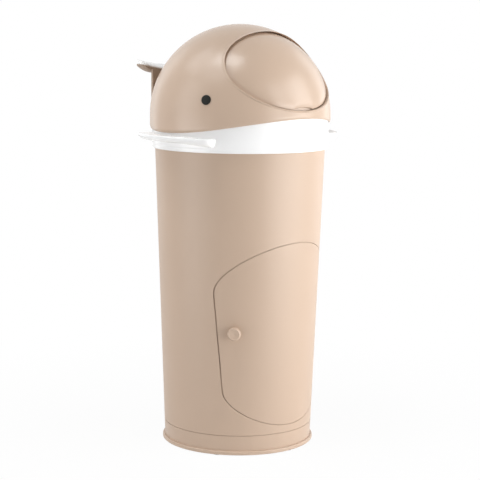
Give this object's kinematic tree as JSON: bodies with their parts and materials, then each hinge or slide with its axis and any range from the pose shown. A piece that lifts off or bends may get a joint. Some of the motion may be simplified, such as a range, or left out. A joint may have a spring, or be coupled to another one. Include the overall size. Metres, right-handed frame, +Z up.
{
  "type": "diaper pail",
  "caption": "Tapered round diaper pail with a domed flip-lid head, side fin grips, a tail lever that tips an inner flap, and a curved front door for the bag.",
  "frame": {"origin": "on the floor plane, on the axis of the round body", "axes": "+Z up along the body's axis, -Y to the front (mouth and door), +X to the door hinge's side"},
  "size_m": [0.355, 0.3415, 0.7085],
  "materials": {
    "body_paint": "satin powder coat",
    "beige_plastic": "fine satin moulding",
    "white_plastic": "polished moulding",
    "black_rubber": "matt",
    "black_plastic": "semi-gloss",
    "steel": "zinc plated"
  },
  "bodies": {
    "pail": {"base_cup": "beige_plastic", "pail_body": "body_paint", "door_frame": "body_paint", "rim_ring": "beige_plastic", "anti_slip_pads": "black_rubber", "hinge_brackets": "steel", "hinge_pins": "steel", "magnet_case": "black_plastic", "catch_magnet": "steel"},
    "bag_ring": {"bag_ring": "white_plastic", "bag_band": "black_rubber"},
    "door": {"door_panel": "body_paint", "hinge_arms": "steel", "strike_plate": "steel", "door_knob": "beige_plastic", "knob_screw": "steel"},
    "head": {"collar": "white_plastic", "dome": "beige_plastic", "chute": "white_plastic", "throat_ring": "white_plastic", "head_gasket": "black_rubber", "pivot_pins": "steel", "eye_caps": "black_plastic", "gear_housing": "white_plastic", "tail_pin": "steel", "return_spring": "steel", "head_screws": "steel"},
    "lid": {"visor_lid": "beige_plastic", "lid_grip": "beige_plastic"},
    "tail": {"tail_lever": "beige_plastic", "fluke_liner": "white_plastic", "lever_quadrant": "white_plastic"},
    "trap": {"trap_flap": "beige_plastic", "flap_seal": "black_rubber", "flap_shaft": "steel", "flap_quadrant": "white_plastic"}
  },
  "joints": [
    {"name": "bag_ring_lift", "type": "slide", "parent": "pail", "child": "bag_ring", "axis": [0, 0, 1], "range_m": [0, 0.15]},
    {"name": "head_lift", "type": "slide", "parent": "bag_ring", "child": "head", "axis": [0, 0, 1], "range_m": [0, 0.2]},
    {"name": "door_swing", "type": "hinge", "parent": "pail", "child": "door", "pos_m": [0.11399, -0.05394, 0.193], "axis": [0.0673, 0.0566, 0.9961], "range_deg": [0, 90]},
    {"name": "lid_swing", "type": "hinge", "parent": "head", "child": "lid", "pos_m": [0, -0.062, 0.587], "axis": [-1, 0, 0], "range_deg": [0, 80]},
    {"name": "tail_pull", "type": "hinge", "parent": "head", "child": "tail", "pos_m": [0, 0.133, 0.55], "axis": [-1, 0, 0], "range_deg": [0, 40], "stiffness_Nm_per_rad": 0.4, "springref_deg": -34.38},
    {"name": "flap_tip", "type": "hinge", "parent": "head", "child": "trap", "pos_m": [0, 0.09764, 0.51464], "axis": [1, 0, 0], "range_deg": [0, 60]}
  ],
  "couplings": [
    {"joint": "flap_tip", "follows": "tail_pull", "ratio": 1.5}
  ]
}
